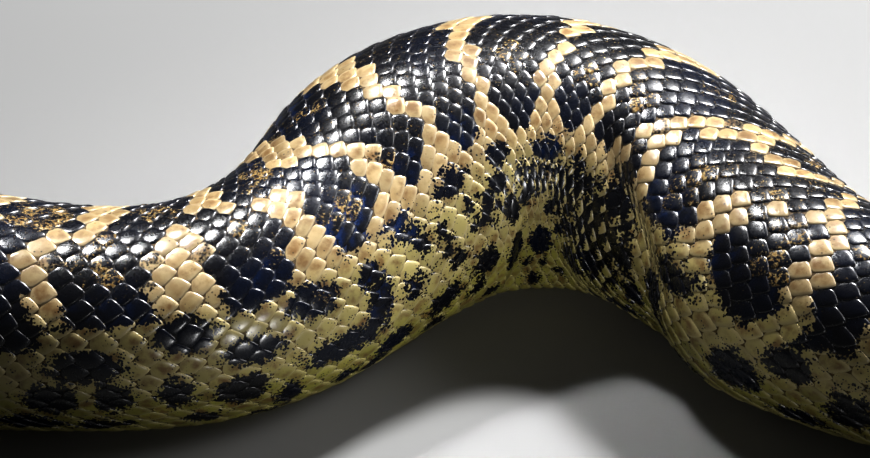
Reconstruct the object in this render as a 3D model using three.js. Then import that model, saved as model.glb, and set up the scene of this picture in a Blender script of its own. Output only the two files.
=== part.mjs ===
// A length of a large constrictor's body, resting on its belly in one sideways bend.
// The scaled hide and what it covers grew as one piece, so it is one closed solid:
// a tapering round body, its rhombic scales raised on it, the skin folded in at the
// inside of the bend, a flat resting underside and two plain cut ends.
// Millimetres, +Z up. The back faces up; the head side is at -X, the tail side at +X.
import * as THREE from 'three';

// Length of body between the two cut ends, measured along its middle.
const BODY_LENGTH = 620;

// The body's middle line, seen from above, and its half thickness, at stations
// STATION_GAP apart from the head-side cut. Headings turn from +X towards +Y.
const STATION_GAP = 50;
const HEADING_DEGREES = [-3, -2.5, 9, 31, 50.5, 47, 27, -0.5, -30, -54.5, -56.5, -38, -25, -30];
const HALF_THICKNESS = [63, 60, 59.5, 62, 66.5, 75, 77.5, 76.5, 72.5, 67, 64.5, 61.5, 57.5, 54];
const PATH_STEP = 1;

// The weight of the body flattens its underside: the middle line lies lower than
// the half thickness by this share, and the rest is cut level with the ground.
const MIDDLE_HEIGHT_SHARE = 0.965;

// Scales lie in slanting lines, each one half a pitch along from the next row's.
const SCALES_ALONG = 54;
const ROWS_EACH_SIDE = 20;
const ROW_ANGLE_DEGREES = 7.2;
const SCALE_CROWN = 0.9;
const SCALE_GROOVE = 1.3;
const CROWN_TOWARDS_TAIL = 0.27;

// Below the last row lie the broad belly plates, whose edges step in and out.
const BELLY_PLATE_STEP = 0.5;

// The fold on the inside of the bend runs from the back down to the lower flank.
const FOLD_AT_BACK = 398;
const FOLD_AT_FLANK = 483;
const FOLD_SLANT_DEGREES = [22, 82];
const FOLD_DEPTH = 6.5;
const FOLD_HALF_WIDTH = 17;
const FOLD_GATHER = 18;
const FOLD_GATHER_REACH = 30;
const FOLD_FADE_IN_DEGREES = [22, 66];
const FOLD_FADE_OUT_DEGREES = [126, 150];

// The flank is drawn shorter in two long gathers as well, one each side of the fold.
const FLANK_GATHERS = [
  { centre: 150, reach: 75, amount: 26 },
  { centre: 528, reach: 46, amount: 13 },
];
const GATHER_FADE_IN_DEGREES = [18, 58];
const GATHER_END_EASE = 40;

// The flank swells over the fold on its tail side.
const SWELL_OFFSET = 42;
const SWELL_HALF_WIDTH = 24;
const SWELL_HEIGHT = 3.2;

// A shallow hollow in the lower flank, on the head side of the fold.
const HOLLOW_ALONG = [284, 316, 372, 420];
const HOLLOW_DEGREES = [68, 98, 126, 148];
const HOLLOW_DEPTH = 8;

const HIDE_COLOUR = '#3a3528';
const HIDE_ROUGHNESS = 0.42;

function smoothstep(from, to, value) {
  const t = Math.min(1, Math.max(0, (value - from) / (to - from)));
  return t * t * (3 - 2 * t);
}

// A value given at the stations, followed smoothly between them.
function alongStations(values, along) {
  const last = values.length - 1;
  const place = Math.min(along / STATION_GAP, last - 1e-6);
  const i = Math.floor(place);
  const t = place - i;
  const here = values[i];
  const next = values[i + 1];
  const before = i > 0 ? values[i - 1] : 2 * here - next;
  const after = i + 2 <= last ? values[i + 2] : 2 * next - here;
  const slope = next - before;
  const bend = 2 * before - 5 * here + 4 * next - after;
  const twist = after - before + 3 * (here - next);
  return here + 0.5 * t * (slope + t * (bend + t * twist));
}

// Walks the middle line in short steps, turning with the heading.
function walkMiddleLine() {
  const steps = Math.round(BODY_LENGTH / PATH_STEP);
  const line = [];
  let x = 0;
  let y = 0;
  for (let k = 0; k <= steps; k += 1) {
    const heading = THREE.MathUtils.degToRad(alongStations(HEADING_DEGREES, k * PATH_STEP));
    line.push({ x, y, heading });
    x += Math.cos(heading) * PATH_STEP;
    y += Math.sin(heading) * PATH_STEP;
  }
  return line;
}

function middleAt(line, along) {
  const place = Math.min(Math.max(along / PATH_STEP, 0), line.length - 1);
  const i = Math.min(Math.floor(place), line.length - 2);
  const t = place - i;
  const a = line[i];
  const b = line[i + 1];
  return {
    x: a.x + (b.x - a.x) * t,
    y: a.y + (b.y - a.y) * t,
    heading: a.heading + (b.heading - a.heading) * t,
  };
}

// How strongly the fold shows at an angle round the body, and where it lies along it.
function foldStrength(angle) {
  const fadeIn = smoothstep(FOLD_FADE_IN_DEGREES[0], FOLD_FADE_IN_DEGREES[1], angle);
  return fadeIn * (1 - smoothstep(FOLD_FADE_OUT_DEGREES[0], FOLD_FADE_OUT_DEGREES[1], angle));
}

function foldPlace(angle) {
  const down = smoothstep(FOLD_SLANT_DEGREES[0], FOLD_SLANT_DEGREES[1], angle);
  return FOLD_AT_BACK + (FOLD_AT_FLANK - FOLD_AT_BACK) * down;
}

// How far a gather draws in a place at this distance from its centre.
function drawnIn(distance, reach, amount) {
  const x = distance / reach;
  return amount * x * Math.exp(-0.5 * x * x);
}

// The skin gathers into the fold and along the flank on both sides of it, so its
// scales crowd there and spread between. The two cut ends stay square.
function gathered(along, angle) {
  const fold = drawnIn(along - foldPlace(angle), FOLD_GATHER_REACH, FOLD_GATHER);
  const flankStrength = smoothstep(GATHER_FADE_IN_DEGREES[0], GATHER_FADE_IN_DEGREES[1], angle)
    * (1 - smoothstep(FOLD_FADE_OUT_DEGREES[0], FOLD_FADE_OUT_DEGREES[1], angle));
  let flank = 0;
  for (const { centre, reach, amount } of FLANK_GATHERS) {
    flank += drawnIn(along - centre, reach, amount);
  }
  const fromEnd = smoothstep(0, GATHER_END_EASE, Math.min(along, BODY_LENGTH - along));
  return along - fromEnd * (foldStrength(angle) * fold + flankStrength * flank);
}

// Millimetres that the skin stands out from the plain round body (negative: in).
function skinRelief(along, angle) {
  const strength = foldStrength(angle);
  const fromFold = along - foldPlace(angle);
  const fold = FOLD_DEPTH * Math.exp(-((fromFold / FOLD_HALF_WIDTH) ** 2));
  const fromSwell = fromFold - SWELL_OFFSET;
  const swell = SWELL_HEIGHT * Math.exp(-((fromSwell / SWELL_HALF_WIDTH) ** 2));
  const [hollowStart, hollowFull, hollowEase, hollowEnd] = HOLLOW_ALONG;
  const [upper, upperFull, lowerFull, lower] = HOLLOW_DEGREES;
  const hollow = HOLLOW_DEPTH
    * smoothstep(hollowStart, hollowFull, along) * (1 - smoothstep(hollowEase, hollowEnd, along))
    * smoothstep(upper, upperFull, angle) * (1 - smoothstep(lowerFull, lower, angle));
  return strength * (swell - fold) - hollow;
}

// A point of the hide: distance along, angle round from the back (positive towards
// the inside of the bend), and height above or below the skin.
function hidePoint(line, along, angle, height) {
  const middle = middleAt(line, along);
  const half = alongStations(HALF_THICKNESS, along);
  const reach = half + skinRelief(along, angle) + height;
  const turn = THREE.MathUtils.degToRad(angle);
  const aside = reach * Math.sin(turn);
  return new THREE.Vector3(
    middle.x + Math.sin(middle.heading) * aside,
    middle.y - Math.cos(middle.heading) * aside,
    Math.max(half * MIDDLE_HEIGHT_SHARE + reach * Math.cos(turn), 0),
  );
}

// The edge of the flat underside, level with the ground.
function underEdge(line, along, side) {
  const middle = middleAt(line, along);
  const half = alongStations(HALF_THICKNESS, along);
  const aside = side * half * Math.sqrt(1 - MIDDLE_HEIGHT_SHARE ** 2);
  return new THREE.Vector3(
    middle.x + Math.sin(middle.heading) * aside,
    middle.y - Math.cos(middle.heading) * aside,
    0,
  );
}

function buildHide() {
  const line = walkMiddleLine();
  const columns = 2 * SCALES_ALONG;
  const columnPitch = BODY_LENGTH / columns;
  const rowCount = 2 * ROWS_EACH_SIDE + 1;
  const edgeRow = ROWS_EACH_SIDE + 1;
  const points = [];
  const faces = [];
  const add = (point) => points.push(point) - 1;

  // One ring of points per half scale, from one side's ground edge over the back to
  // the other side's. Where column and row are both odd or both even, a scale has
  // its crown; the other points are the corners shared by four scales.
  const rings = [];
  for (let i = 0; i <= columns; i += 1) {
    const atCut = i === 0 || i === columns;
    const ring = [add(underEdge(line, i * columnPitch, -1))];
    for (let j = -edgeRow; j <= edgeRow; j += 1) {
      const angle = j * ROW_ANGLE_DEGREES;
      const atEdge = Math.abs(j) === edgeRow;
      const isCrown = !atEdge && (i + j) % 2 === 0;
      let column = i;
      let height = -SCALE_GROOVE;
      if (isCrown) {
        height = SCALE_CROWN;
        column = atCut ? i : i + 2 * CROWN_TOWARDS_TAIL;
      }
      if (atEdge) {
        height = i % 2 === 0 ? -BELLY_PLATE_STEP : BELLY_PLATE_STEP;
      }
      const along = atCut ? i * columnPitch : gathered(column * columnPitch, angle);
      ring.push(add(hidePoint(line, along, angle, height)));
    }
    ring.push(add(underEdge(line, i * columnPitch, 1)));
    rings.push(ring);
  }

  // Each cell is split from crown to crown's corner so that a scale is four facets.
  const ringSize = rowCount + 4;
  for (let i = 0; i < columns; i += 1) {
    const here = rings[i];
    const next = rings[i + 1];
    for (let k = 0; k < ringSize; k += 1) {
      const l = (k + 1) % ringSize;
      const row = k - 1 - edgeRow;
      const splitFromHere = (i + row) % 2 === 0;
      if (splitFromHere) {
        faces.push([here[k], here[l], next[k]], [here[l], next[l], next[k]]);
      } else {
        faces.push([here[k], here[l], next[l]], [here[k], next[l], next[k]]);
      }
    }
  }

  // The two cut ends are flat, fanned from the middle line.
  for (const end of [0, columns]) {
    const middle = middleAt(line, end * columnPitch);
    const half = alongStations(HALF_THICKNESS, end * columnPitch);
    const centre = add(new THREE.Vector3(middle.x, middle.y, half * MIDDLE_HEIGHT_SHARE));
    const ring = rings[end];
    for (let k = 0; k < ringSize; k += 1) {
      const a = ring[k];
      const b = ring[(k + 1) % ringSize];
      faces.push(end === 0 ? [centre, b, a] : [centre, a, b]);
    }
  }

  const geometry = new THREE.BufferGeometry();
  geometry.setAttribute('position', new THREE.Float32BufferAttribute(points.flatMap((p) => p.toArray()), 3));
  geometry.setIndex(faces.flat());

  // The frame stands at the middle of the resting underside's bounding box.
  geometry.computeBoundingBox();
  const middle = geometry.boundingBox.getCenter(new THREE.Vector3());
  geometry.translate(-middle.x, -middle.y, 0);
  geometry.computeVertexNormals();
  return geometry;
}

const hideMaterial = new THREE.MeshStandardMaterial({
  color: HIDE_COLOUR,
  roughness: HIDE_ROUGHNESS,
  metalness: 0,
});

const group = new THREE.Group();
group.name = 'constrictor_skin';
const hide = new THREE.Mesh(buildHide(), hideMaterial);
hide.name = 'hide';
group.add(hide);

export default group;
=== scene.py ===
"""A length of python skin on a large snake's body, lying in one sideways bend."""
import math

import bpy
import numpy as np
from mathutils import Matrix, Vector


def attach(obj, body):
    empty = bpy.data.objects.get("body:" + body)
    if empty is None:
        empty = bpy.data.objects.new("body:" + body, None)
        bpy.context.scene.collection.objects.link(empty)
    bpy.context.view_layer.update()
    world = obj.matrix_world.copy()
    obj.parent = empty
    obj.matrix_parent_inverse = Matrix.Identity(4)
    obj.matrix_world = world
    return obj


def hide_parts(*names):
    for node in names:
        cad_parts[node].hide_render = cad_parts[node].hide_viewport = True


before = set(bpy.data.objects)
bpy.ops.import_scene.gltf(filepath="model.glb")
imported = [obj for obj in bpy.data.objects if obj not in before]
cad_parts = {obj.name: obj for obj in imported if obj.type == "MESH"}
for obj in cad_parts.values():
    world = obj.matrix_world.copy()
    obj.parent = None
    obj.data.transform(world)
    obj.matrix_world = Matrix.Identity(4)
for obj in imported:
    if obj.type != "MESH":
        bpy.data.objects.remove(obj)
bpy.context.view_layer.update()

# THE BARE SKIN
# The soft skin between and under the scales, stretched over a thick tapering body.
# It grew as one sleeve with the scales; here it is a tube over the body's middle line.
BODY_LENGTH = 0.620
# Where the middle line starts in X and Y, so that the body's box is centred.
HEAD_CUT = (-0.264674, -0.063112)
# The middle line's heading and half the body's thickness, at stations along the middle line.
STATION_GAP = 0.050
HEADING_DEGREES = (-3, -2.5, 9, 31, 50.5, 47, 27, -0.5, -30, -54.5, -56.5, -38, -25, -30)
HALF_THICKNESS_MM = (63, 60, 59.5, 62, 66.5, 75, 77.5, 76.5, 72.5, 67, 64.5, 61.5, 57.5, 54)
MIDDLE_HEIGHT_SHARE = 0.965
PATH_STEP = 0.001

FOLD_AT_BACK = 0.398
FOLD_AT_FLANK = 0.483
FOLD_SLANT_DEGREES = (22, 82)
FOLD_DEPTH = 0.0065
FOLD_HALF_WIDTH = 0.017
FOLD_FADE_IN_DEGREES = (22, 66)
FADE_OUT_DEGREES = (126, 150)
# The swelling's distance from the fold, its half width and its height.
SWELL = (0.042, 0.024, 0.0032)
# How far the skin is drawn together: for the fold, the reach and the amount, and for each
# gather of the flank, the centre, the reach and the amount.
FOLD_GATHER = (0.030, 0.018)
FLANK_GATHERS = ((0.150, 0.075, 0.026), (0.528, 0.046, 0.013))
GATHER_FADE_IN_DEGREES = (18, 58)
GATHER_END_EASE = 0.040
# Where the hollow of the flank starts, is deepest, starts to end and ends.
HOLLOW_ALONG = (0.284, 0.316, 0.372, 0.420)
HOLLOW_DEGREES = (68, 98, 126, 148)
HOLLOW_DEPTH = 0.008

# How much wider or narrower the lines of scales lie than the plain lattice, by millimetres along.
ROW_SPREAD_ALONG_MM = (0, 100, 190, 260, 340, 430, 500, 620)
ROW_SPREAD = (0.17, 0.14, -0.04, -0.13, -0.13, -0.04, 0.04, 0.05)
ROW_SPREAD_FADE_DEGREES = (55, 151)
# Going down the near flank the rings of scales lean towards the head, most near the head cut.
LEAN_ALONG = (0.0, 0.050, 0.100, 0.240)
LEAN_DEGREES = (12, 64)
LEAN = 0.022

SKIN_BELOW_SCALES = 0.0011
UNDERSIDE_CLEARANCE = 0.0009
SKIN_CELLS_ALONG = 248
SKIN_CELLS_ROUND = 120


def ease(start, end, value):
    """From 0 at the start to 1 at the end, softly."""
    share = np.clip((value - start) / (end - start), 0, 1)
    return share * share * (3 - 2 * share)


def along_stations(values, along):
    """A value given at the stations, followed smoothly between them."""
    values = np.asarray(values, float)
    last = len(values) - 1
    place = np.clip(np.asarray(along, float) / STATION_GAP, 0, last - 1e-6)
    i = np.floor(place).astype(int)
    t = place - i
    here = values[i]
    after_here = values[i + 1]
    before = np.where(i > 0, values[np.maximum(i - 1, 0)], 2 * here - after_here)
    beyond = np.where(i + 2 <= last, values[np.minimum(i + 2, last)], 2 * after_here - here)
    slope = after_here - before
    bend = 2 * before - 5 * here + 4 * after_here - beyond
    twist = beyond - before + 3 * (here - after_here)
    return here + 0.5 * t * (slope + t * (bend + t * twist))


LINE_PLACES = np.arange(0, BODY_LENGTH + PATH_STEP / 2, PATH_STEP)
LINE_HEADINGS = np.radians(along_stations(HEADING_DEGREES, LINE_PLACES))
LINE_X = HEAD_CUT[0] + PATH_STEP * np.append(0, np.cumsum(np.cos(LINE_HEADINGS[:-1])))
LINE_Y = HEAD_CUT[1] + PATH_STEP * np.append(0, np.cumsum(np.sin(LINE_HEADINGS[:-1])))


def fold_strength(angle):
    return ease(*FOLD_FADE_IN_DEGREES, angle) * (1 - ease(*FADE_OUT_DEGREES, angle))


def fold_place(angle):
    return FOLD_AT_BACK + (FOLD_AT_FLANK - FOLD_AT_BACK) * ease(*FOLD_SLANT_DEGREES, angle)


def drawn_in(distance, reach, amount):
    share = distance / reach
    return amount * share * np.exp(-0.5 * share * share)


def gathered(along, angle):
    """Where a place of the unwrinkled skin lies once the bend has gathered it."""
    fold = drawn_in(along - fold_place(angle), *FOLD_GATHER)
    flank = sum(drawn_in(along - centre, reach, amount) for centre, reach, amount in FLANK_GATHERS)
    flank_strength = ease(*GATHER_FADE_IN_DEGREES, angle) * (1 - ease(*FADE_OUT_DEGREES, angle))
    from_end = ease(0, GATHER_END_EASE, np.minimum(along, BODY_LENGTH - along))
    return along - from_end * (fold_strength(angle) * fold + flank_strength * flank)


def settled(along, angle):
    """Where a place of the plain lattice really lies: metres along the skin and degrees round."""
    spread = np.interp(along * 1000, ROW_SPREAD_ALONG_MM, ROW_SPREAD)
    true_angle = angle * (1 + spread * (1 - ease(*ROW_SPREAD_FADE_DEGREES, np.abs(angle))))
    start, full, easing, end = LEAN_ALONG
    strength = ease(start, full, along) * (1 - ease(easing, end, along))
    return along + LEAN * strength * (0.5 - ease(*LEAN_DEGREES, true_angle)), true_angle


def skin_relief(along, angle):
    """The fold, the swelling beside it and the hollow of the flank, in metres."""
    from_fold = along - fold_place(angle)
    swell_offset, swell_half_width, swell_height = SWELL
    fold = FOLD_DEPTH * np.exp(-((from_fold / FOLD_HALF_WIDTH) ** 2))
    swell = swell_height * np.exp(-(((from_fold - swell_offset) / swell_half_width) ** 2))
    start, full, easing, end = HOLLOW_ALONG
    upper, upper_full, lower_full, lower = HOLLOW_DEGREES
    hollow = HOLLOW_DEPTH * ease(start, full, along) * (1 - ease(easing, end, along))
    hollow = hollow * ease(upper, upper_full, angle) * (1 - ease(lower_full, lower, angle))
    return fold_strength(angle) * (swell - fold) - hollow


def skin_points(along, angle, height):
    """Points of the hide from the distance along, the angle round from the back and a height."""
    place = gathered(along, angle)
    half = 0.001 * along_stations(HALF_THICKNESS_MM, place)
    heading = np.interp(place, LINE_PLACES, LINE_HEADINGS)
    reach = half + skin_relief(place, angle) + height
    turn = np.radians(angle)
    aside = reach * np.sin(turn)
    x = np.interp(place, LINE_PLACES, LINE_X) + np.sin(heading) * aside
    y = np.interp(place, LINE_PLACES, LINE_Y) - np.cos(heading) * aside
    z = np.maximum(half * MIDDLE_HEIGHT_SHARE + reach * np.cos(turn), UNDERSIDE_CLEARANCE)
    return np.stack([x, y, z], axis=-1)


def new_piece(name, points, faces):
    """A mesh object at the origin, smooth-shaded, from rows of points and faces."""
    mesh = bpy.data.meshes.new(name)
    mesh.from_pydata([tuple(p) for p in points], [], [tuple(f) for f in faces])
    mesh.shade_smooth()
    piece = bpy.data.objects.new(name, mesh)
    bpy.context.scene.collection.objects.link(piece)
    return piece


def grid_faces(rows, columns):
    """The quads of a sheet of points, rows long and columns wide."""
    faces = []
    for i in range(rows - 1):
        for j in range(columns - 1):
            corner = i * columns + j
            faces.append((corner, corner + 1, corner + columns + 1, corner + columns))
    return faces


def write_attribute(piece, name, values):
    """Stores one value, or one row of three, for each point of the piece."""
    values = np.asarray(values, np.float32)
    kind, field = ("FLOAT", "value") if values.ndim == 1 else ("FLOAT_VECTOR", "vector")
    layer = piece.data.attributes.get(name) or piece.data.attributes.new(name, kind, "POINT")
    layer.data.foreach_set(field, values.ravel())


lattice_along, lattice_angle = np.meshgrid(
    np.linspace(0, BODY_LENGTH, SKIN_CELLS_ALONG + 1),
    np.linspace(-180, 180, SKIN_CELLS_ROUND + 1),
    indexing="ij",
)
along_grid, angle_grid = settled(lattice_along, lattice_angle)
skin_grid = skin_points(along_grid, angle_grid, -SKIN_BELOW_SCALES)
bare_skin = new_piece(
    "bare_skin", skin_grid.reshape(-1, 3), grid_faces(SKIN_CELLS_ALONG + 1, SKIN_CELLS_ROUND + 1)
)

# The way out of the skin at each point, for whatever grows on it.
way_out = np.cross(np.gradient(skin_grid, axis=1), np.gradient(skin_grid, axis=0))
way_out /= np.linalg.norm(way_out, axis=-1, keepdims=True)
write_attribute(bare_skin, "way_out", way_out.reshape(-1, 3))

# The skin's own map: the length runs along X and the girth, from belly to belly, along Y.
skin_map = np.stack([lattice_along / BODY_LENGTH, (lattice_angle + 180) / 360], axis=-1)
corner_points = np.zeros(len(bare_skin.data.loops), np.int32)
bare_skin.data.loops.foreach_get("vertex_index", corner_points)
bare_skin.data.uv_layers.new(name="skin_map").data.foreach_set(
    "uv", skin_map.reshape(-1, 2)[corner_points].astype(np.float32).ravel()
)

# The markings, and some spots of painted shade. Tan bands run over the back between
# near-black blotches; each point of a band is millimetres along, degrees round and the band's
# half width in millimetres.
MM_PER_DEGREE = 1.15
TAN_BANDS = (
    ((14, -60, 6), (16, -20, 5), (11, 0, 5), (8, 20, 7), (6, 40, 9), (4, 60, 9)),
    ((72, -60, 11), (72, -24, 10), (71, -6, 9.5), (63, 2, 6), (55, 9, 5), (42, 16, 5), (37, 24, 10),
     (37, 34, 9), (36, 44, 7), (37, 60, 5)),
    ((107, 11, 8), (104, 17, 10), (107, 23, 10), (103, 30, 11), (101, 38, 11), (97, 46, 14),
     (97, 60, 14)),
    ((131, -60, 9), (131, -20, 9), (129, -9, 10), (120, -1, 5)),
    ((130, -9, 9), (138, -1, 4)),
    ((154, 7, 8), (160, 14, 9), (162, 22, 8), (162, 30, 8), (164, 38, 9), (164, 52, 15)),
    ((190, -60, 8), (192, -36, 10), (190, -25, 11), (187, -16, 12), (193, -8, 7), (199, 0, 5.5),
     (205, 7, 5.5), (207, 16, 5.5), (209, 26, 5.5), (210, 34, 7.5), (210, 46, 13)),
    ((250, -60, 9), (249, -30, 10), (249, -18, 9), (247, -5, 6), (245, 6, 6), (246, 16, 5.5),
     (249, 25, 4.5), (248, 34, 6), (248, 46, 13)),
    ((316, -60, 9), (314, -28, 9.5), (309, -14, 8), (302, -3, 6.5), (297, 6, 7), (295, 16, 5.5),
     (294, 26, 6.5), (294, 36, 9.5), (295, 46, 15)),
    ((368, -60, 6), (367, -25, 6), (365, -10, 5.5), (361, 2, 5), (356, 11, 6), (352, 20, 8), (351, 30, 8),
     (351, 38, 11), (349, 46, 18)),
    ((411, -60, 9), (410, -30, 9.5), (407, -16, 6), (406, -5, 4.5), (402, 6, 5.5), (397, 16, 5.5),
     (399, 24, 4.5), (395, 32, 5), (391, 40, 9), (390, 48, 12)),
    ((478, -60, 7), (479, -30, 5), (480, -20, 6.5), (477, -9, 9), (466, 1, 6), (456, 6, 7), (450, 13, 8.5),
     (438, 20, 6), (434, 28, 4.5), (437, 36, 5), (431, 42, 6), (424, 47, 6)),
    ((452, 13, 6), (454, 20, 4.5), (451, 28, 5), (454, 36, 5), (461, 46, 5), (467, 55, 5), (476, 64, 9)),
    ((480, -9, 7), (495, -7, 8), (508, -10, 7), (514, -17, 5), (523, -24, 3.5), (530, -60, 6)),
    ((548, -60, 7), (546, -25, 4), (552, -16, 5), (550, -7, 5), (553, 4, 8), (541, 9, 5), (532, 15, 4),
     (520, 19, 4.5), (511, 23, 8), (510, 32, 9), (506, 41, 8), (506, 50, 8), (510, 56, 6.5), (520, 62, 4.5),
     (530, 71, 4.5), (540, 78, 5)),
    ((553, 4, 7), (561, 9, 5), (562, 16, 4.5), (560, 24, 4.5), (560, 32, 5.5), (563, 40, 7), (563, 48, 6),
     (568, 57, 6), (566, 66, 7), (558, 76, 7)),
    ((608, -60, 7), (606, -10, 6), (603, 20, 6), (604, 45, 7), (600, 70, 8)),
)
# Where the back's blotches end and the paler flank begins: millimetres along, degrees round.
FLANK_LINE = (
    (0, 60), (60, 60), (75, 57), (118, 60), (140, 57), (170, 50), (190, 52), (225, 44), (265, 46),
    (290, 44), (320, 46.5), (375, 46), (412, 47), (430, 46), (465, 56), (490, 58), (525, 66),
    (550, 76), (600, 70), (620, 66),
)
FAR_FLANK_LINE_DEGREES = 54
# Dark spots of the flank and a few in the bands: millimetres along, degrees round, half sizes.
# Some of those in the hollow of the flank and by the fold are painted shade: dark put where
# the hollow lies in shadow.
DARK_SPOTS_AND_PAINTED_SHADE = (
    (71, -15, 3, 2.5), (129, 0, 5, 2.5), (442, 26, 4, 5), (560, -3, 4, 3),
    (92, 64, 15, 10), (22, 62, 15, 11), (52, 79, 17, 10), (121, 79, 16, 9), (38, 99, 11, 11),
    (61, 97, 8, 12), (87, 97, 8, 11), (115, 101, 14, 11), (28, 120, 13, 9), (56, 122, 14, 8),
    (98, 122, 9, 7), (141, 116, 9, 12), (158, 64, 17, 9), (192, 66, 8, 8), (194, 78, 8, 12),
    (191, 88, 9, 6), (170, 94, 25, 8), (204, 111, 12, 9), (213, 51, 9, 4), (218, 58, 11, 5),
    (224, 66, 6, 6), (215, 79, 9, 3), (214, 85, 7, 5), (236, 79, 5, 3), (241, 85, 9, 4),
    (236, 68, 5, 4), (240, 73, 4, 4), (251, 54, 12, 6), (247, 47, 6, 2), (257, 66, 4, 6),
    (256, 75, 4, 4), (270, 72, 6, 8), (291, 55, 14, 5.5), (285, 65, 13, 5), (264, 96, 13, 8),
    (236, 104, 13, 9), (178, 120, 10, 6), (262, 110, 8, 6), (304, 101, 15, 11), (284, 122, 9, 6),
    (236, 122, 9, 6), (196, 124, 9, 6), (297, 78, 12, 7), (350, 55, 20, 6), (357, 62, 15, 3.5),
    (310, 64, 9, 2.5), (330, 64, 8, 2), (317, 73, 14, 6), (392, 57, 9, 4), (408, 64, 16, 6),
    (395, 78, 14, 4.5), (395, 88, 15, 7), (360, 81, 11, 5), (346, 101, 19, 11), (398, 108, 18, 9),
    (376, 94, 8, 5), (330, 117, 9, 5), (352, 119, 6, 4), (395, 112, 8, 6), (372, 129, 9, 5),
    (340, 135, 8, 5), (436, 62, 13, 8), (450, 84, 6, 14), (426, 100, 8, 9), (456, 106, 7, 11),
    (486, 92, 21, 13), (512, 72, 18, 8), (490, 112, 18, 7), (549, 101, 12, 13), (571, 84, 11, 10),
    (594, 101, 9, 15), (520, 122, 12, 7), (575, 121, 12, 8), (440, 126, 14, 7), (480, 130, 12, 6),
    (410, 134, 9, 6), (130, 134, 12, 6),
)
# The far side carries the near side's markings, moved this far along, from a line below the back.
FAR_SIDE_SHIFT = 17
FAR_SPOTS_START_DEGREES = -45
FAR_GOLD_DEGREES = (-20, -32)
FAR_AWAY_MM = 1e3
# A thin scatter of gold lies over the whole back and fades out down the sides.
GOLD_EVERYWHERE = 0.32
THIN_GOLD_DEGREES = (24, 44)
# Where the blotches carry more gold: millimetres along, degrees round, half sizes, strength.
GOLD_FLECKS = (
    (38, -8, 24, 22, 0.95), (68, 28, 13, 18, 0.9), (72, 12, 20, 7, 0.8), (100, -12, 16, 14, 0.85),
    (138, 15, 12, 9, 0.7), (140, 38, 7, 7, 0.8), (165, -12, 22, 18, 0.9), (165, 4, 10, 5, 0.8),
    (185, 30, 15, 11, 0.85), (222, -22, 9, 9, 0.9), (218, 28, 6, 6, 0.7), (225, 5, 15, 8, 0.4),
    (327, 10, 14, 17, 0.75), (379, 14, 12, 15, 0.75), (420, 18, 12, 13, 0.9), (438, -20, 8, 9, 0.9),
    (484, 26, 14, 11, 0.9), (482, 40, 14, 8, 0.7), (489, 12, 10, 7, 0.8), (533, -12, 13, 9, 0.6),
    (522, 10, 18, 8, 0.75), (545, 40, 15, 12, 0.85), (540, 25, 14, 9, 0.75), (578, 15, 10, 10, 0.7),
    (166, 64, 10, 6, 0.7),
)
# Where the head ends of the dark scales show deep blue, in the same measures.
BLUE_GAPS = (
    (140, 44, 20, 10, 0.35), (188, 38, 26, 18, 1.0), (218, 52, 20, 12, 1.0), (228, 38, 16, 9, 0.7),
    (196, 74, 16, 18, 0.9), (216, 86, 10, 9, 0.6), (270, 38, 20, 10, 0.4), (355, 54, 20, 7, 0.6),
    (452, 52, 24, 10, 0.5), (482, 46, 26, 12, 0.5), (525, 50, 22, 14, 0.3), (565, 54, 26, 16, 0.2),
    (70, 50, 30, 10, 0.25), (12, 46, 12, 16, 0.3),
)
# Where tan scales are black up to their free tips, in the same measures. The black is this many
# millimetres deep for each unit of strength above the level where it starts.
BLACK_BASES = (
    (330, 68, 48, 14, 0.72), (385, 72, 40, 20, 0.95), (425, 88, 32, 44, 1.05), (440, 58, 22, 18, 1.2),
    (275, 70, 22, 18, 0.6),
)
BLACK_BASE_DEPTH = 9
BLACK_BASE_LEVEL = 0.45
# How far tailwards of a scale's middle, in half pitches, its black and its blue start and are full.
BLACK_BASE_REACH = (1.1, 0.1)
BLUE_BASE_REACH = (0.25, -0.45)
# How far down the sides the markings turn ragged, the tan yellow and the yellow greener.
# The yellow down the sides is partly the hide's own colour and partly painted green bounce light,
# most of all in the greener yellow low down.
RAGGED_DEGREES = (38, 54)
YELLOW_DEGREES = (38, 74)
UNDERSIDE_DEGREES = (80, 112)
# Where the soft edge of a patch starts and ends, as shares of its half sizes.
PATCH_EDGE = (1.2, 0.3)


def outside_band(along, angle, band):
    """Millimetres that each place lies outside a tan band, negative inside it."""
    best = np.full(np.shape(along), FAR_AWAY_MM)
    for (along_a, angle_a, half_a), (along_b, angle_b, half_b) in zip(band[:-1], band[1:]):
        step = np.array([along_b - along_a, (angle_b - angle_a) * MM_PER_DEGREE])
        away = np.stack([along - along_a, (angle - angle_a) * MM_PER_DEGREE], axis=-1)
        share = np.clip(away @ step / (step @ step), 0, 1)
        gap = np.linalg.norm(away - share[..., None] * step, axis=-1)
        best = np.minimum(best, gap - (half_a + (half_b - half_a) * share))
    return best


def in_spot(along, angle, spot):
    """Millimetres that each place lies inside a round spot, negative outside it."""
    centre_along, centre_angle, half_along, half_angle = spot
    away = np.hypot((along - centre_along) / half_along, (angle - centre_angle) / half_angle)
    return (1 - away) * min(half_along, half_angle * MM_PER_DEGREE)


def depth_in_dark(along, angle):
    """Millimetres inside the dark, negative on tan, from millimetres along and degrees round; some spots are
    painted shade.
    """
    depth = np.full(np.shape(along), FAR_AWAY_MM)
    for band in TAN_BANDS:
        depth = np.minimum(depth, outside_band(along, angle, band))
    line_along, line_angle = zip(*FLANK_LINE)
    near_edge = (np.interp(along, line_along, line_angle) - angle) * MM_PER_DEGREE
    far_edge = (FAR_FLANK_LINE_DEGREES + angle) * MM_PER_DEGREE
    depth = np.minimum(depth, np.minimum(near_edge, far_edge))
    near_side = FAR_AWAY_MM * (angle > FAR_SPOTS_START_DEGREES)
    for spot in DARK_SPOTS_AND_PAINTED_SHADE:
        far_spot = in_spot(along - FAR_SIDE_SHIFT, -angle, spot) - near_side
        depth = np.maximum(depth, np.maximum(in_spot(along, angle, spot), far_spot))
    return depth


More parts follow.
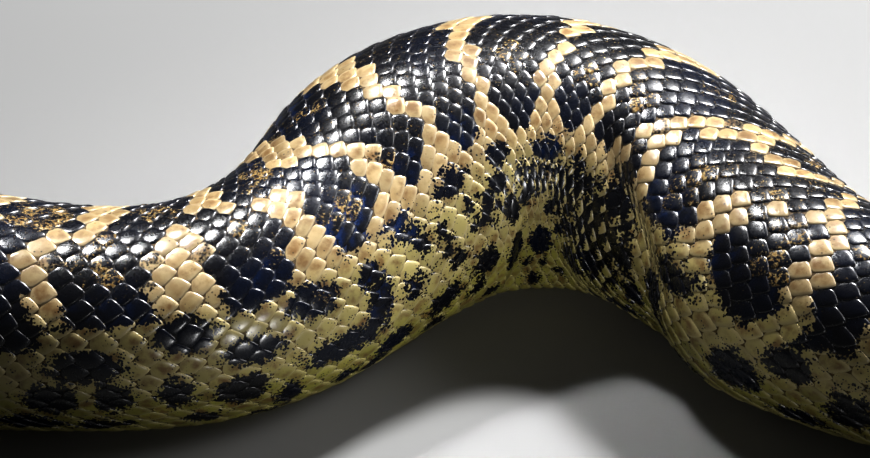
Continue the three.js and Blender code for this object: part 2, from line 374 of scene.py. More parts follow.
def patch_strength(along, angle, patches):
    """How strongly soft round patches colour each place: 0 outside, their own strength inside."""
    strength = np.zeros(np.shape(along))
    for centre_along, centre_angle, half_along, half_angle, most in patches:
        away = np.hypot((along - centre_along) / half_along, (angle - centre_angle) / half_angle)
        strength = np.maximum(strength, most * ease(*PATCH_EDGE, away))
    return strength


def write_markings_and_painted_light(piece, along, angle, own_along, own_angle, from_middle):
    """Stores the markings with their painted shade and bounce, for points of a piece and the middle of each
    one's scale.

    From_middle is how far each point lies tailwards of its scale's middle, in half pitches.
    """
    down = np.abs(angle)
    ragged = ease(*RAGGED_DEGREES, down)
    on_scale = depth_in_dark(own_along, own_angle)
    black = patch_strength(along, down, BLACK_BASES) * ease(*BLACK_BASE_REACH, from_middle)
    on_point = np.maximum(depth_in_dark(along, angle), BLACK_BASE_DEPTH * (black - BLACK_BASE_LEVEL))
    write_attribute(piece, "dark_depth", on_scale + (on_point - on_scale) * ragged)
    write_attribute(piece, "ragged", ragged)
    near_gold = patch_strength(own_along, own_angle, GOLD_FLECKS)
    far_gold = patch_strength(own_along - FAR_SIDE_SHIFT, -own_angle, GOLD_FLECKS)
    far_gold = far_gold * ease(*FAR_GOLD_DEGREES, own_angle)
    thin_gold = GOLD_EVERYWHERE * (1 - ease(*THIN_GOLD_DEGREES, np.abs(own_angle)))
    write_attribute(piece, "gold", np.maximum(np.maximum(near_gold, far_gold), thin_gold))
    write_attribute(piece, "low", ease(*YELLOW_DEGREES, down) + ease(*UNDERSIDE_DEGREES, down))
    blue = patch_strength(along, down, BLUE_GAPS) * ease(*BLUE_BASE_REACH, from_middle)
    write_attribute(piece, "blue", blue)


# Each point of the bare skin counts as the head end of a scale, half a pitch from its middle.
flat_along = 1000 * along_grid.ravel()
flat_angle = angle_grid.ravel()
at_head_ends = np.full(len(flat_along), -1.0)
write_markings_and_painted_light(bare_skin, flat_along, flat_angle, flat_along, flat_angle, at_head_ends)

TAN = (0.42, 0.30, 0.15)
TAN_PALE = (0.53, 0.415, 0.235)
TAN_RIM = (0.60, 0.50, 0.33)
TAN_BROWN = (0.23, 0.125, 0.046)
# Painted green bounce light, in part: the yellow low on the sides and the greener yellow below it.
LOW_YELLOW_WITH_PAINTED_BOUNCE = (0.58, 0.50, 0.20)
UNDER_YELLOW_WITH_PAINTED_BOUNCE = (0.46, 0.43, 0.10)
DARK = (0.0046, 0.0050, 0.0080)
DARK_BLUE = (0.003, 0.006, 0.018)
GAP_BLUE = (0.004, 0.024, 0.105)
GOLD = (0.50, 0.38, 0.18)
GOLD_BROWN = (0.32, 0.19, 0.06)
BROWN_SPECK = (0.020, 0.014, 0.012)
BARE_SKIN_SHADE = (0.26, 0.21, 0.15)


def socketed_group(name, inputs, outputs):
    """A shader node group with the given inputs (name, kind, value) and outputs (name, kind)."""
    group = bpy.data.node_groups.new(name, "ShaderNodeTree")
    for socket, kind, value in inputs:
        made = group.interface.new_socket(socket, in_out="INPUT", socket_type=kind)
        made.default_value = value
    for socket, kind in outputs:
        group.interface.new_socket(socket, in_out="OUTPUT", socket_type=kind)
    return group


class Wiring:
    """Adds nodes to a tree and joins them, so that a tree reads as a list of steps."""

    def __init__(self, tree):
        self.tree = tree

    def node(self, kind, settings=None, **inputs):
        made = self.tree.nodes.new(kind)
        for field, value in (settings or {}).items():
            setattr(made, field, value)
        for socket, value in inputs.items():
            self.feed(made, socket.replace("_", " "), value)
        return made

    def feed(self, made, socket, value):
        """Sets or links an input, given by its name or, as at0, at1 and so on, by its place."""
        by_place = socket.startswith("at") and socket[2:].isdigit()
        target = made.inputs[int(socket[2:]) if by_place else socket]
        if isinstance(value, bpy.types.NodeSocket):
            self.tree.links.new(value, target)
        else:
            target.default_value = value

    def math(self, operation, first, second=0.0):
        made = self.node("ShaderNodeMath", {"operation": operation}, at0=first, at1=second)
        return made.outputs[0]

    def attribute(self, name):
        return self.node("ShaderNodeAttribute", {"attribute_name": name}).outputs["Fac"]

    def noise(self, where, scale, detail=2.0, roughness=0.5):
        made = self.node(
            "ShaderNodeTexNoise", None,
            Vector=where, Scale=scale, Detail=detail, Roughness=roughness,
        )
        return made.outputs["Fac"]

    def ramp(self, value, start, end, low=0.0, high=1.0):
        """Follows a value softly from low, at the start, to high, at the end."""
        made = self.node(
            "ShaderNodeMapRange", {"interpolation_type": "SMOOTHSTEP"},
            Value=value, From_Min=start, From_Max=end, To_Min=low, To_Max=high,
        )
        return made.outputs["Result"]

    def blend(self, share, first, second, mode="MIX"):
        """Joins two colours: the second covers the first by the share."""
        made = self.node("ShaderNodeMix", {"data_type": "RGBA", "blend_type": mode})
        self.feed(made, "at0", share)
        for place, colour in ((6, first), (7, second)):
            value = colour if isinstance(colour, bpy.types.NodeSocket) else (*colour, 1.0)
            self.feed(made, f"at{place}", value)
        return made.outputs[2]


def make_markings_and_painted_light_group():
    """Pigment, painted shade and painted green bounce: tan or near-black by depth, ragged and specked on the
    flank.
    """
    group = socketed_group(
        "markings_and_painted_light",
        [("Tint", "NodeSocketFloat", 0.5), ("Edge", "NodeSocketFloat", 0.0)],
        [("Colour", "NodeSocketColor"), ("Darkness", "NodeSocketFloat")],
    )
    w = Wiring(group)
    given = w.node("NodeGroupInput").outputs
    where = w.node("ShaderNodeTexCoord").outputs["Object"]
    dark_depth = w.attribute("dark_depth")
    ragged = w.attribute("ragged")
    gold = w.attribute("gold")
    low = w.attribute("low")
    blue = w.attribute("blue")

    # Tan or dark, with an edge that is clean on the back and jagged on the flanks.
    coarse = w.math("SUBTRACT", w.noise(where, 150.0, 2.0, 0.6), 0.5)
    fine = w.math("SUBTRACT", w.noise(where, 520.0, 2.0, 0.6), 0.5)
    dots = w.node("ShaderNodeTexVoronoi", None, Vector=where, Scale=620.0, Randomness=0.9).outputs["Distance"]
    from_dots = w.math("SUBTRACT", 0.42, dots)
    jag = w.math("ADD", w.math("MULTIPLY", coarse, 14.0), w.math("MULTIPLY", fine, 6.0))
    jag = w.math("ADD", jag, w.math("MULTIPLY", from_dots, 7.0))
    jag_reach = w.math("ADD", w.math("MULTIPLY", ragged, 0.9), 0.05)
    depth = w.math("ADD", dark_depth, w.math("MULTIPLY", jag, jag_reach))
    darkness = w.ramp(depth, -0.12, 0.12)

    # The tan: mottled, yellower down the sides, smudged brown, paler at the rim, with dark specks.
    mottle = w.noise(where, 140.0, 3.0)
    tan = w.blend(w.ramp(mottle, 0.35, 0.7), TAN, TAN_PALE)
    # Painted green bounce light, in part: yellower down the sides, and greener lower still.
    tan = w.blend(w.math("MULTIPLY", w.ramp(low, 0.0, 1.0), 0.95), tan, LOW_YELLOW_WITH_PAINTED_BOUNCE)
    tan = w.blend(w.ramp(low, 1.0, 2.0), tan, UNDER_YELLOW_WITH_PAINTED_BOUNCE)
    smudge = w.ramp(w.noise(where, 115.0, 4.0, 0.6), 0.42, 0.68)
    smudge = w.math("MULTIPLY", smudge, w.ramp(given["Edge"], 1.0, 0.45))
    tan = w.blend(w.math("MULTIPLY", smudge, 0.9), tan, TAN_BROWN)
    paler = w.math("MULTIPLY", w.ramp(given["Edge"], 0.45, 0.95), 0.35)
    tan = w.blend(paler, tan, TAN_RIM)
    shade = w.math("ADD", w.math("MULTIPLY", given["Tint"], 0.34), 0.80)
    grey = w.node("ShaderNodeCombineColor", None, Red=shade, Green=shade, Blue=shade).outputs[0]
    tan = w.blend(1.0, tan, grey, "MULTIPLY")
    nearness = w.math("ADD", w.math("MULTIPLY", ragged, 0.8), 0.2)
    nearness = w.math("MULTIPLY", w.ramp(dark_depth, -10.0, -1.0), nearness)
    crowding = w.math("MULTIPLY", w.ramp(w.noise(where, 130.0, 2.0), 0.50, 0.64), nearness)
    dot_size = w.math("ADD", w.math("MULTIPLY", crowding, 0.40), 0.03)
    specks = w.ramp(w.math("SUBTRACT", dots, dot_size), 0.02, -0.02)
    tan = w.blend(specks, tan, BROWN_SPECK)
    pores = w.node("ShaderNodeTexVoronoi", None, Vector=where, Scale=260.0, Randomness=1.0).outputs
    pore = w.math("MULTIPLY", w.ramp(pores["Distance"], 0.17, 0.10), w.ramp(pores["Color"], 0.55, 0.60))
    tan = w.blend(w.math("MULTIPLY", pore, 0.85), tan, BROWN_SPECK)

    # The dark: blue-black, with deep blue patches and flecks of gold.
    broad = w.noise(where, 18.0, 2.0)
    dark = w.blend(w.ramp(broad, 0.40, 0.66), DARK, DARK_BLUE)
    blue_patch = w.math("MULTIPLY", blue, w.ramp(w.noise(where, 150.0, 2.0), 0.44, 0.58))
    dark = w.blend(blue_patch, dark, GAP_BLUE)
    streaks = w.noise(where, 600.0, 4.0, 0.7)
    fleck_patch = w.ramp(w.noise(where, 110.0, 2.0), 0.25, 0.65, 0.4, 1.0)
    crowded = w.math("MULTIPLY", w.math("MULTIPLY", gold, fleck_patch), 0.27)
    fleck_level = w.math("SUBTRACT", 0.71, crowded)
    flecks = w.ramp(w.math("SUBTRACT", streaks, fleck_level), 0.0, 0.025)
    gold_colour = w.blend(w.ramp(w.noise(where, 800.0, 2.0), 0.40, 0.62), GOLD_BROWN, GOLD)
    dark = w.blend(flecks, dark, gold_colour)
    colour = w.blend(darkness, tan, dark)
    w.node("NodeGroupOutput", None, Colour=colour, Darkness=darkness)
    return group


markings_and_painted_light = make_markings_and_painted_light_group()


def new_finish(name):
    """An empty node material and its wiring."""
    finish = bpy.data.materials.new(name)
    finish.use_nodes = True
    finish.node_tree.nodes.clear()
    return finish, Wiring(finish.node_tree)


def make_bare_skin_finish():
    """Matt, darker and finely creased: what shows in the gaps between the scales."""
    finish, w = new_finish("bare_skin_finish")
    where = w.node("ShaderNodeTexCoord").outputs["Object"]
    pigment = w.node("ShaderNodeGroup", {"node_tree": markings_and_painted_light}, Tint=0.2, Edge=1.0)
    colour = w.blend(1.0, pigment.outputs["Colour"], BARE_SKIN_SHADE, "MULTIPLY")
    blue = w.math("MULTIPLY", w.attribute("blue"), pigment.outputs["Darkness"])
    colour = w.blend(blue, colour, GAP_BLUE)
    creases = w.noise(where, 1500.0, 3.0)
    bump = w.node("ShaderNodeBump", None, Height=creases, Strength=0.5, Distance=0.0004)
    shader = w.node(
        "ShaderNodeBsdfPrincipled", None,
        Base_Color=colour, Roughness=0.72, Normal=bump.outputs["Normal"],
    )
    w.node("ShaderNodeOutputMaterial", None, Surface=shader.outputs["BSDF"])
    return finish


bare_skin.data.materials.append(make_bare_skin_finish())
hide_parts("hide")
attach(bare_skin, "root")

# THE SCALES
# Horny rhombic scales in slanting lines, each with its tail end free over the next two.
# They are one growth with the skin; here one domed form is laid over the whole lattice.
SCALES_ALONG = 54
ROWS_EACH_SIDE = 20
ROW_DEGREES = 7.2
# The lattice counts its columns in half pitches along and its rows right round the body.
LATTICE_COLUMNS = 2 * SCALES_ALONG
LATTICE_ROWS = 360 / ROW_DEGREES
# Half the outline of a scale from its free tail tip to its head end, in half pitches and rows.
SCALE_OUTLINE = (
    (1.29, 0), (1.14, 0.18), (0.73, 0.48), (0.25, 0.74), (-0.26, 0.75), (-0.86, 0.38), (-1.04, 0),
)
# For each ring of a scale, its share of the outline and its height above the skin.
SCALE_RINGS = (
    (0.0, 0.00058), (0.55, 0.00052), (0.83, 0.00038), (0.95, 0.00014), (1.0, -0.00045), (0.99, -0.00170),
)
# The rise towards the tail in each half pitch, and the place where it ends.
SCALE_RISE = 0.00060
RISE_END = 0.7
TURN_SPREAD = 0.11
SIZE_SPREAD = 0.045
LIFT_SPREAD = 0.25
SCALE_SEED = 7
# How far places stay inside the edges of the skin's map, and points above the floor, with no
# limit to them in X and Y.
MAP_EDGE = 0.00001
LEAST_HEIGHT = 0.00002
NO_LIMIT = -10.0


def make_scale_form():
    """One scale in lattice measure: X is half a pitch, Y one row, and Z metres."""
    outline = list(SCALE_OUTLINE) + [(x, -y) for x, y in SCALE_OUTLINE[-2:0:-1]]
    sectors = len(outline)
    points = []
    rim = []
    for share, height in SCALE_RINGS:
        for x, y in outline if share > 0 else outline[:1]:
            points.append((share * x, share * y, height + SCALE_RISE * min(share * x, RISE_END)))
            rim.append(share)
    faces = [(0, 1 + k, 1 + (k + 1) % sectors) for k in range(sectors)]
    for ring in range(len(SCALE_RINGS) - 2):
        inner = 1 + ring * sectors
        outer = inner + sectors
        for k in range(sectors):
            after = (k + 1) % sectors
            faces.append((inner + k, outer + k, outer + after, inner + after))
    form = new_piece("scale_form", points, faces)
    write_attribute(form, "rim", rim)
    return form


def make_laying_tree():
    """Geometry nodes that lay a form over the skin's lattice and press it to the skin."""
    tree = bpy.data.node_groups.new("lay_on_skin", "GeometryNodeTree")
    inputs = (
        ("Skin", "NodeSocketGeometry"), ("Form", "NodeSocketObject"),
        ("First Column", "NodeSocketInt"), ("Last Column", "NodeSocketInt"),
        ("Column Step", "NodeSocketInt"), ("First Row", "NodeSocketFloat"),
        ("Rows", "NodeSocketInt"), ("Lattice Columns", "NodeSocketFloat"),
        ("Lattice Rows", "NodeSocketFloat"), ("Turn Spread", "NodeSocketFloat"),
        ("Size Spread", "NodeSocketFloat"), ("Lift Spread", "NodeSocketFloat"),
        ("Seed", "NodeSocketInt"), ("Finish", "NodeSocketMaterial"),
    )
    for socket, kind in inputs:
        tree.interface.new_socket(socket, in_out="INPUT", socket_type=kind)
    tree.interface.new_socket("Laid", in_out="OUTPUT", socket_type="NodeSocketGeometry")
    w = Wiring(tree)
    given = w.node("NodeGroupInput").outputs

    # A sheet of points, one for each column and row, moved so that X counts columns and Y rows.
    span = w.math("SUBTRACT", given["Last Column"], given["First Column"])
    count = w.math("ADD", w.math("DIVIDE", span, given["Column Step"]), 1.0)
    row_span = w.math("SUBTRACT", given["Rows"], 1.0)
    sheet = w.node(
        "GeometryNodeMeshGrid", None,
        Size_X=span, Size_Y=row_span, Vertices_X=count, Vertices_Y=given["Rows"],
    )
    middle_column = w.math("MULTIPLY", w.math("ADD", given["Last Column"], given["First Column"]), 0.5)
    middle_row = w.math("ADD", given["First Row"], w.math("MULTIPLY", row_span, 0.5))
    shift = w.node("ShaderNodeCombineXYZ", None, X=middle_column, Y=middle_row).outputs[0]
    placed = w.node("GeometryNodeSetPosition", None, Geometry=sheet.outputs["Mesh"], Offset=shift)

    # Only the points where column and row are both odd or both even carry a form.
    here = w.node("GeometryNodeInputPosition").outputs[0]
    parts = w.node("ShaderNodeSeparateXYZ", None, Vector=here).outputs
    together = w.math("ROUND", w.math("ADD", parts["X"], parts["Y"]))
    between = w.math("GREATER_THAN", w.math("FLOORED_MODULO", together, 2.0), 0.5)
    kept = w.node(
        "GeometryNodeDeleteGeometry", {"domain": "POINT"},
        Geometry=placed.outputs["Geometry"], Selection=between,
    )
    marked = w.node(
        "GeometryNodeStoreNamedAttribute", {"data_type": "FLOAT_VECTOR", "domain": "POINT"},
        Geometry=kept.outputs["Geometry"], Name="own_place", Value=here,
    )

    # Each form is toned, turned, sized and lifted a little by chance.
    def chance(low, high, offset):
        seed = w.math("ADD", given["Seed"], offset)
        made = w.node("FunctionNodeRandomValue", {"data_type": "FLOAT"})
        for place, value in ((2, low), (3, high), (8, seed)):
            w.feed(made, f"at{place}", value)
        return made.outputs[1]

    toned = w.node(
        "GeometryNodeStoreNamedAttribute", {"data_type": "FLOAT", "domain": "POINT"},
        Geometry=marked.outputs["Geometry"], Name="tint", Value=chance(0.0, 1.0, 3.0),
    )
    turn = w.math("MULTIPLY", given["Turn Spread"], chance(-1.0, 1.0, 0.0))
    rotation = w.node("ShaderNodeCombineXYZ", None, Z=turn).outputs[0]
    size = w.math("ADD", 1.0, w.math("MULTIPLY", given["Size Spread"], chance(-1.0, 1.0, 1.0)))
    lift = w.math("ADD", 1.0, w.math("MULTIPLY", given["Lift Spread"], chance(-1.0, 1.0, 2.0)))
    scale = w.node("ShaderNodeCombineXYZ", None, X=size, Y=size, Z=lift).outputs[0]
    form = w.node("GeometryNodeObjectInfo", {"transform_space": "ORIGINAL"}, Object=given["Form"])
    laid = w.node(
        "GeometryNodeInstanceOnPoints", None,
        Points=toned.outputs["Geometry"], Instance=form.outputs["Geometry"], Rotation=rotation, Scale=scale,
    )
    loose = w.node("GeometryNodeRealizeInstances", None, Geometry=laid.outputs["Instances"])

    # The lattice place of every point is kept, then looked up on the skin's own map.
    vertex = w.node("GeometryNodeInputPosition").outputs[0]
    noted = w.node(
        "GeometryNodeStoreNamedAttribute", {"data_type": "FLOAT_VECTOR", "domain": "POINT"},
        Geometry=loose.outputs["Geometry"], Name="lattice_place", Value=vertex,
    )
    lattice = w.node("ShaderNodeSeparateXYZ", None, Vector=vertex).outputs
    map_x = w.math("DIVIDE", lattice["X"], given["Lattice Columns"])
    map_x = w.math("MINIMUM", w.math("MAXIMUM", map_x, MAP_EDGE), 1 - MAP_EDGE)
    map_y = w.math("DIVIDE", lattice["Y"], given["Lattice Rows"])
    map_y = w.math("FRACT", w.math("ADD", map_y, 0.5 + MAP_EDGE))
    on_map = w.node("ShaderNodeCombineXYZ", None, X=map_x, Y=map_y).outputs[0]
    in_threes = {"data_type": "FLOAT_VECTOR"}
    own_map = w.node("GeometryNodeInputNamedAttribute", in_threes, Name="skin_map").outputs[0]
    outward = w.node("GeometryNodeInputNamedAttribute", in_threes, Name="way_out").outputs[0]

    def on_skin(value):
        made = w.node("GeometryNodeSampleUVSurface", in_threes, Mesh=given["Skin"])
        for socket, source in (("Value", value), ("Source UV Map", own_map), ("Sample UV", on_map)):
            w.feed(made, socket, source)
        return made.outputs["Value"]

    foot = on_skin(w.node("GeometryNodeInputPosition").outputs[0])
    rise = w.node("ShaderNodeVectorMath", {"operation": "SCALE"}, Vector=on_skin(outward), Scale=lattice["Z"])
    top = w.node("ShaderNodeVectorMath", {"operation": "ADD"}, at0=foot, at1=rise.outputs[0])
    lowest = w.node("ShaderNodeCombineXYZ", None, X=NO_LIMIT, Y=NO_LIMIT, Z=LEAST_HEIGHT).outputs[0]
    resting = w.node("ShaderNodeVectorMath", {"operation": "MAXIMUM"}, at0=top.outputs[0], at1=lowest)
    pressed = w.node(
        "GeometryNodeSetPosition", None,
        Geometry=noted.outputs["Geometry"], Position=resting.outputs[0],
    )
    smooth = w.node("GeometryNodeSetShadeSmooth", None, Geometry=pressed.outputs["Geometry"])
    finished = w.node(
        "GeometryNodeSetMaterial", None,
        Geometry=smooth.outputs["Geometry"], Material=given["Finish"],
    )
    w.node("NodeGroupOutput", None, Laid=finished.outputs["Geometry"])
    return tree


laying_tree = make_laying_tree()


def lay_on_skin(name, **values):
    """Runs the laying tree over a copy of the bare skin and returns the result as a plain mesh."""
    carrier = bpy.data.objects.new(name + "_carrier", bare_skin.data.copy())
    bpy.context.scene.collection.objects.link(carrier)
    modifier = carrier.modifiers.new("lay", "NODES")
    modifier.node_group = laying_tree
    for item in laying_tree.interface.items_tree:
        key = item.name.replace(" ", "_").lower()
        if item.in_out == "INPUT" and key in values:
            modifier[item.identifier] = values[key]
    depsgraph = bpy.context.evaluated_depsgraph_get()
    mesh = bpy.data.meshes.new_from_object(carrier.evaluated_get(depsgraph))
    mesh.name = name
    bpy.data.objects.remove(carrier)
    piece = bpy.data.objects.new(name, mesh)
    bpy.context.scene.collection.objects.link(piece)
    return piece


def lattice_to_skin(places):
    """Millimetres along and degrees round, from places counted in columns and rows."""
    along = np.clip(places[:, 0] / LATTICE_COLUMNS, 0, 1) * BODY_LENGTH
    angle = (places[:, 1] * ROW_DEGREES + 180) % 360 - 180
    true_along, true_angle = settled(along, angle)
    return 1000 * true_along, true_angle


def read_places(piece, name):
    """The rows of three that an attribute holds, one for each point of the piece."""
    layer = piece.data.attributes[name]
    values = np.zeros(3 * len(layer.data), np.float32)
    layer.data.foreach_get("vector", values)
    return values.reshape(-1, 3)


def mark_laid_piece(piece):
    """Writes the markings on a laid piece, read at each point and at its own scale's middle."""
    places = read_places(piece, "lattice_place")
    own_places = read_places(piece, "own_place")
    from_middle = places[:, 0] - own_places[:, 0]
    write_markings_and_painted_light(piece, *lattice_to_skin(places), *lattice_to_skin(own_places), from_middle)


# Paler rims of the dark scales: partly the horn's clear edge, partly a painted glint.
PALE_EDGE_AND_PAINTED_GLINT = (0.16, 0.15, 0.16)
# Painted shadow under the edge of every scale.
UNDER_EDGE_PAINTED_SHADOW = (0.020, 0.014, 0.010)


def make_scale_finish():
    """Glossy horn with a thin clear coat and a fine grain.

    The dark scales are paler at their rims, partly the horn's clear edge and partly a painted glint,
    and every scale is painted near-black under its edge as shadow.
    """
    finish, w = new_finish("scale_finish")
    where = w.node("ShaderNodeTexCoord").outputs["Object"]
    rim = w.attribute("rim")
    tint = w.attribute("tint")
    pigment = w.node("ShaderNodeGroup", {"node_tree": markings_and_painted_light}, Tint=tint, Edge=rim)
    # Painted glint, in part: a paler rim on the dark scales, beside the horn's own clear edge.
    pale_edge_and_glint = w.math("MULTIPLY", w.ramp(rim, 0.90, 1.0), pigment.outputs["Darkness"])
    colour = w.blend(w.math("MULTIPLY", pale_edge_and_glint, 0.35), pigment.outputs["Colour"], PALE_EDGE_AND_PAINTED_GLINT)
    # Painted shadow: the outer rim and skirt of every scale turn near-black under its free edge.
    colour = w.blend(w.ramp(rim, 0.965, 0.99), colour, UNDER_EDGE_PAINTED_SHADOW)
    grain = w.noise(where, 1100.0, 3.0)
    waves = w.noise(where, 240.0, 2.0)
    height = w.math("ADD", w.math("MULTIPLY", grain, 0.35), waves)
    bump = w.node("ShaderNodeBump", None, Height=height, Strength=0.14, Distance=0.0005)
    roughness = w.math("ADD", w.math("MULTIPLY", w.noise(where, 330.0, 3.0), 0.14), 0.23)
    roughness = w.math("SUBTRACT", roughness, w.math("MULTIPLY", pigment.outputs["Darkness"], 0.03))
    shader = w.node(
        "ShaderNodeBsdfPrincipled", None,
        Base_Color=colour, Roughness=roughness, Normal=bump.outputs["Normal"],
        Specular_IOR_Level=0.85, Coat_Weight=0.18, Coat_Roughness=0.14,
    )
    w.node("ShaderNodeOutputMaterial", None, Surface=shader.outputs["BSDF"])
    return finish


scale_form = make_scale_form()
scale_finish = make_scale_finish()
HALFWAY_COLUMN = LATTICE_COLUMNS // 2
for name, first_column, last_column in (
    ("scales_head_side", 0, HALFWAY_COLUMN),
    ("scales_tail_side", HALFWAY_COLUMN + 1, LATTICE_COLUMNS),
):
    scales = lay_on_skin(
        name, form=scale_form, first_column=first_column, last_column=last_column, column_step=1,
        first_row=-float(ROWS_EACH_SIDE), rows=2 * ROWS_EACH_SIDE + 1,
        lattice_columns=float(LATTICE_COLUMNS), lattice_rows=LATTICE_ROWS,
        turn_spread=TURN_SPREAD, size_spread=SIZE_SPREAD, lift_spread=LIFT_SPREAD,
        seed=SCALE_SEED, finish=scale_finish,
    )
    mark_laid_piece(scales)
    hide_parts("hide")
    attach(scales, "root")
bpy.data.objects.remove(scale_form)

# THE BELLY PLATES
# Wide plates across the underside, one behind the other, that the body lies on.
# Each overlaps the next towards the tail and tucks in under the lowest scales.
PLATE_HALF_ROWS = 4.35
PLATE_CELLS_ACROSS = 16
# For each line of a plate from head to tail: its place in half pitches and its height.
PLATE_LINES = (
    (-1.1, 0.00005), (-0.5, 0.00030), (0.2, 0.00050), (0.8, 0.00062), (1.04, 0.00052),
    (1.02, -0.00050),
)
# How far the ends of a plate turn down, and how sharply.
PLATE_TUCK = 0.0012
PLATE_TUCK_POWER = 12
# How near to its rim the middle of a plate counts for the colours, and how much its height varies.
PLATE_MIDDLE_RIM = 0.3
PLATE_LIFT_SPREAD = 0.1


def make_plate_form():
    """One belly plate in lattice measure, its ends turned down under the scales."""
    points = []
    rim = []
    for x, height in PLATE_LINES:
        for k in range(PLATE_CELLS_ACROSS + 1):
            share = 2 * k / PLATE_CELLS_ACROSS - 1
            tucked = PLATE_TUCK * abs(share) ** PLATE_TUCK_POWER
            points.append((x, share * PLATE_HALF_ROWS, height - tucked))
            rim.append(min(1.0, PLATE_MIDDLE_RIM + (1 - PLATE_MIDDLE_RIM) * abs(x)))
    faces = [face[::-1] for face in grid_faces(len(PLATE_LINES), PLATE_CELLS_ACROSS + 1)]
    form = new_piece("plate_form", points, faces)
    write_attribute(form, "rim", rim)
    return form


def make_plate_finish():
    """Smooth pale horn with a soft wax-like gloss and dark blotches."""
    finish, w = new_finish("plate_finish")
    where = w.node("ShaderNodeTexCoord").outputs["Object"]
    pigment = w.node(
        "ShaderNodeGroup", {"node_tree": markings_and_painted_light},
        Tint=w.attribute("tint"), Edge=w.attribute("rim"),
    )
    streaks = w.noise(where, 420.0, 3.0)
    bump = w.node("ShaderNodeBump", None, Height=streaks, Strength=0.25, Distance=0.0005)
    roughness = w.math("ADD", w.math("MULTIPLY", streaks, 0.2), 0.28)
    shader = w.node(
        "ShaderNodeBsdfPrincipled", None,
        Base_Color=pigment.outputs["Colour"], Roughness=roughness, Normal=bump.outputs["Normal"],
    )
    w.node("ShaderNodeOutputMaterial", None, Surface=shader.outputs["BSDF"])
    return finish


plate_form = make_plate_form()
belly_plates = lay_on_skin(
    "belly_plates", form=plate_form, first_column=-1, last_column=LATTICE_COLUMNS + 1, column_step=2,
    first_row=LATTICE_ROWS / 2, rows=1,
    lattice_columns=float(LATTICE_COLUMNS), lattice_rows=LATTICE_ROWS,
    turn_spread=0.0, size_spread=0.0, lift_spread=PLATE_LIFT_SPREAD,
    seed=SCALE_SEED, finish=make_plate_finish(),
)
bpy.data.objects.remove(plate_form)
mark_laid_piece(belly_plates)
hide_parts("hide")
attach(belly_plates, "root")

# THE CUT ENDS
# The two flat faces that end the length of body, cut square across its middle line.
# They are finished plainly: one matt face from the middle line out to the scales.
CUT_RINGS = (0.25, 0.5, 0.75, 0.93, 1.0)
CUT_SECTORS = 100
CUT_EDGE_HEIGHT = 0.0002
CUT_DARK = (0.16, 0.11, 0.065)
CUT_PALE = (0.27, 0.20, 0.12)


def make_cut_ends():
    """A disc of rings at each end, facing away from the body."""
    points = []
    faces = []
    for along, faces_head in ((0.0, True), (BODY_LENGTH, False)):
        angles = np.linspace(-180, 180, CUT_SECTORS, endpoint=False)
        edge = skin_points(np.full(CUT_SECTORS, along), angles, CUT_EDGE_HEIGHT)
        half = 0.001 * along_stations(HALF_THICKNESS_MM, along)
        middle = np.array([
            np.interp(along, LINE_PLACES, LINE_X), np.interp(along, LINE_PLACES, LINE_Y),
            half * MIDDLE_HEIGHT_SHARE,
        ])
        first = len(points)
        points.append(middle)
        for share in CUT_RINGS:
            points.extend(middle + (edge - middle) * share)
        made = [(first, first + 1 + k, first + 1 + (k + 1) % CUT_SECTORS) for k in range(CUT_SECTORS)]
        for ring in range(len(CUT_RINGS) - 1):
            inner = first + 1 + ring * CUT_SECTORS
            outer = inner + CUT_SECTORS
            for k in range(CUT_SECTORS):
                after = (k + 1) % CUT_SECTORS
                made.append((inner + k, outer + k, outer + after, inner + after))
        faces.extend(face[::-1] if faces_head else face for face in made)
    return new_piece("cut_ends", points, faces)


def make_cut_finish():
    """Dull dried hide colour with a soft mottle."""
    finish, w = new_finish("cut_finish")
    where = w.node("ShaderNodeTexCoord").outputs["Object"]
    mottle = w.noise(where, 60.0, 5.0, 0.6)
    colour = w.blend(w.ramp(mottle, 0.3, 0.7), CUT_DARK, CUT_PALE)
    bump = w.node("ShaderNodeBump", None, Height=w.noise(where, 500.0, 4.0), Strength=0.5, Distance=0.0008)
    shader = w.node(
        "ShaderNodeBsdfPrincipled", None,
        Base_Color=colour, Roughness=0.85, Normal=bump.outputs["Normal"],
    )
    w.node("ShaderNodeOutputMaterial", None, Surface=shader.outputs["BSDF"])
    return finish


cut_ends = make_cut_ends()
cut_ends.data.materials.append(make_cut_finish())
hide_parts("hide")
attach(cut_ends, "root")

# THE FLOOR
# A plain pale floor that the body rests on. It isn't part of the object.
FLOOR_HALF = 6.0
FLOOR_GREY = (0.30, 0.30, 0.30)
FLOOR_PALE = (0.315, 0.315, 0.315)
FLOOR_UNSEEN = (0.05, 0.05, 0.046)


def make_floor_finish():
    """Plain and pale to look at, but it throws little light back on the underside."""
    finish, w = new_finish("floor_finish")
    where = w.node("ShaderNodeTexCoord").outputs["Object"]
    seen = w.node("ShaderNodeLightPath").outputs["Is Camera Ray"]
    pale = w.blend(w.noise(where, 3.0, 2.0), FLOOR_GREY, FLOOR_PALE)
    colour = w.blend(seen, FLOOR_UNSEEN, pale)
    shader = w.node("ShaderNodeBsdfPrincipled", None, Base_Color=colour, Roughness=0.8)
    w.node("ShaderNodeOutputMaterial", None, Surface=shader.outputs["BSDF"])
    return finish


floor_corners = [
    (-FLOOR_HALF, -FLOOR_HALF, 0), (FLOOR_HALF, -FLOOR_HALF, 0),
    (FLOOR_HALF, FLOOR_HALF, 0), (-FLOOR_HALF, FLOOR_HALF, 0),
]
floor = new_piece("floor", floor_corners, [(0, 1, 2, 3)])
floor.data.materials.append(make_floor_finish())

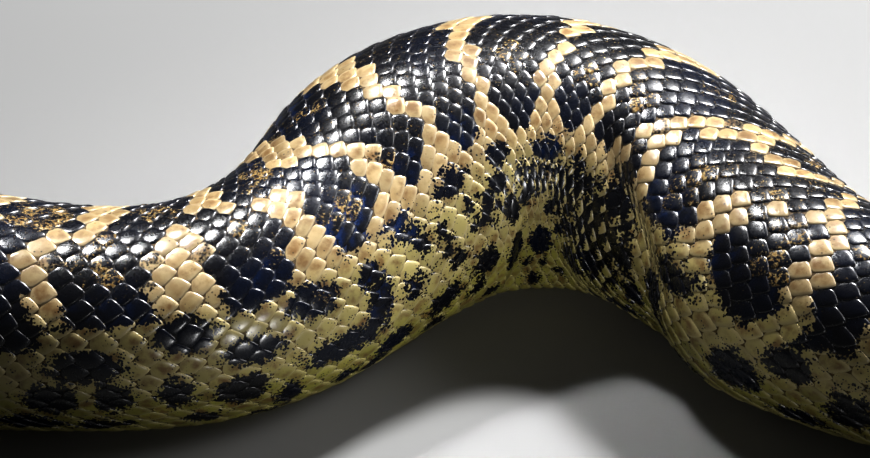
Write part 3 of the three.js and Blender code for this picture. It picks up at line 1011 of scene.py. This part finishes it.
# THE LIGHT
# Soft studio panels: a strong one high behind the bend at its right, one at its left with a
# narrow beam for the highlights, one beside it, a faint narrow one low in front, and a dim
# surround that looks pale to the camera.
# For each panel: its place, where it is aimed, its size, its watts and its beam in degrees.
PANELS = (
    ("key_panel", (0.82, 1.14, 2.10), (0.0, 0.0, 0.08), (0.40, 0.40), 124.0, 180),
    ("top_panel", (-0.68, 0.84, 1.98), (-0.05, 0.05, 0.13), (0.56, 0.38), 0.60, 10),
    ("side_panel", (1.20, 0.05, 0.85), (-0.05, 0.0, 0.08), (0.60, 0.60), 11.0, 180),
    ("fill_panel", (0.30, -1.28, 0.20), (-0.02, -0.03, 0.07), (0.20, 0.20), 0.08, 17),
)
SURROUND_STRENGTH = 0.035
SURROUND_SEEN = 0.70
VIEW_GAMMA = 0.80

for name, place, aim, (width, depth), power, spread in PANELS:
    light = bpy.data.lights.new(name, "AREA")
    light.shape = "RECTANGLE"
    light.size = width
    light.size_y = depth
    light.energy = power
    light.spread = math.radians(spread)
    lamp = bpy.data.objects.new(name, light)
    lamp.location = place
    lamp.rotation_euler = (Vector(aim) - Vector(place)).to_track_quat("-Z", "Y").to_euler()
    bpy.context.scene.collection.objects.link(lamp)

surround = bpy.data.worlds.new("surround")
surround.use_nodes = True
surround.node_tree.nodes["Background"].inputs["Color"].default_value = (1.0, 1.0, 1.0, 1.0)
w = Wiring(surround.node_tree)
seen = w.node("ShaderNodeLightPath").outputs["Is Camera Ray"]
strength = w.math("ADD", w.math("MULTIPLY", seen, SURROUND_SEEN - SURROUND_STRENGTH), SURROUND_STRENGTH)
w.feed(surround.node_tree.nodes["Background"], "Strength", strength)
bpy.context.scene.world = surround
bpy.context.scene.view_settings.view_transform = "Standard"
bpy.context.scene.view_settings.gamma = VIEW_GAMMA

# THE CAMERA
# The photograph's view: from the inside of the bend, looking down at 35 degrees.
CAMERA_AIM = Vector((-0.02137, -0.00144, 0.06926))
CAMERA_DISTANCE = 1.620
CAMERA_ELEVATION = math.radians(35)
CAMERA_LENS = 124.14
CAMERA_SENSOR = 36.0

camera_data = bpy.data.cameras.new("camera")
camera_data.lens = CAMERA_LENS
camera_data.sensor_width = CAMERA_SENSOR
camera_data.sensor_fit = "HORIZONTAL"
camera = bpy.data.objects.new("camera", camera_data)
camera_way = Vector((0.0, -math.cos(CAMERA_ELEVATION), math.sin(CAMERA_ELEVATION)))
camera.location = CAMERA_AIM + CAMERA_DISTANCE * camera_way
camera.rotation_euler = (-camera_way).to_track_quat("-Z", "Y").to_euler()
bpy.context.scene.collection.objects.link(camera)
bpy.context.scene.camera = camera

bpy.context.view_layer.update()
